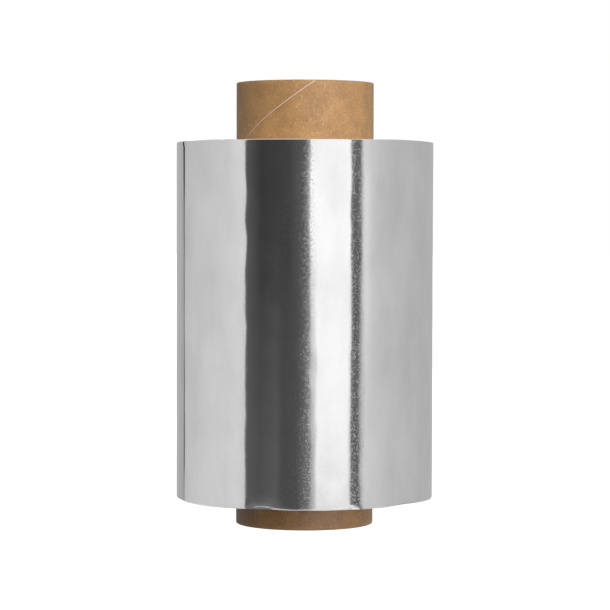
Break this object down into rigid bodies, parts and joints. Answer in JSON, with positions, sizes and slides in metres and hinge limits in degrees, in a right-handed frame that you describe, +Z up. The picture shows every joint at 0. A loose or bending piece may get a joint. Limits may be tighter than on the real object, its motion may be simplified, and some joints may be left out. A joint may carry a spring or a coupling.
{
  "type": "aluminium foil roll",
  "caption": "Roll of aluminium foil wound tight on a cardboard core that stands out at both ends; stands on its lower core end.",
  "frame": {"origin": "centre of the core's lower end, the face that the roll stands on", "axes": "+Z up along the roll's axis, towards the longer core stub; -Y is the front; the sheet's loose end is 21.7 degrees past -X, towards -Y"},
  "size_m": [0.0868, 0.0868, 0.1493],
  "materials": {
    "kraft_board": "brown kraft paper, matt, spiral wound",
    "foil": "bright rolled foil, close to a mirror with a fine grain"
  },
  "bodies": {
    "root": {"cardboard_core": "kraft_board", "wound_foil": "foil"}
  },
  "joints": []
}
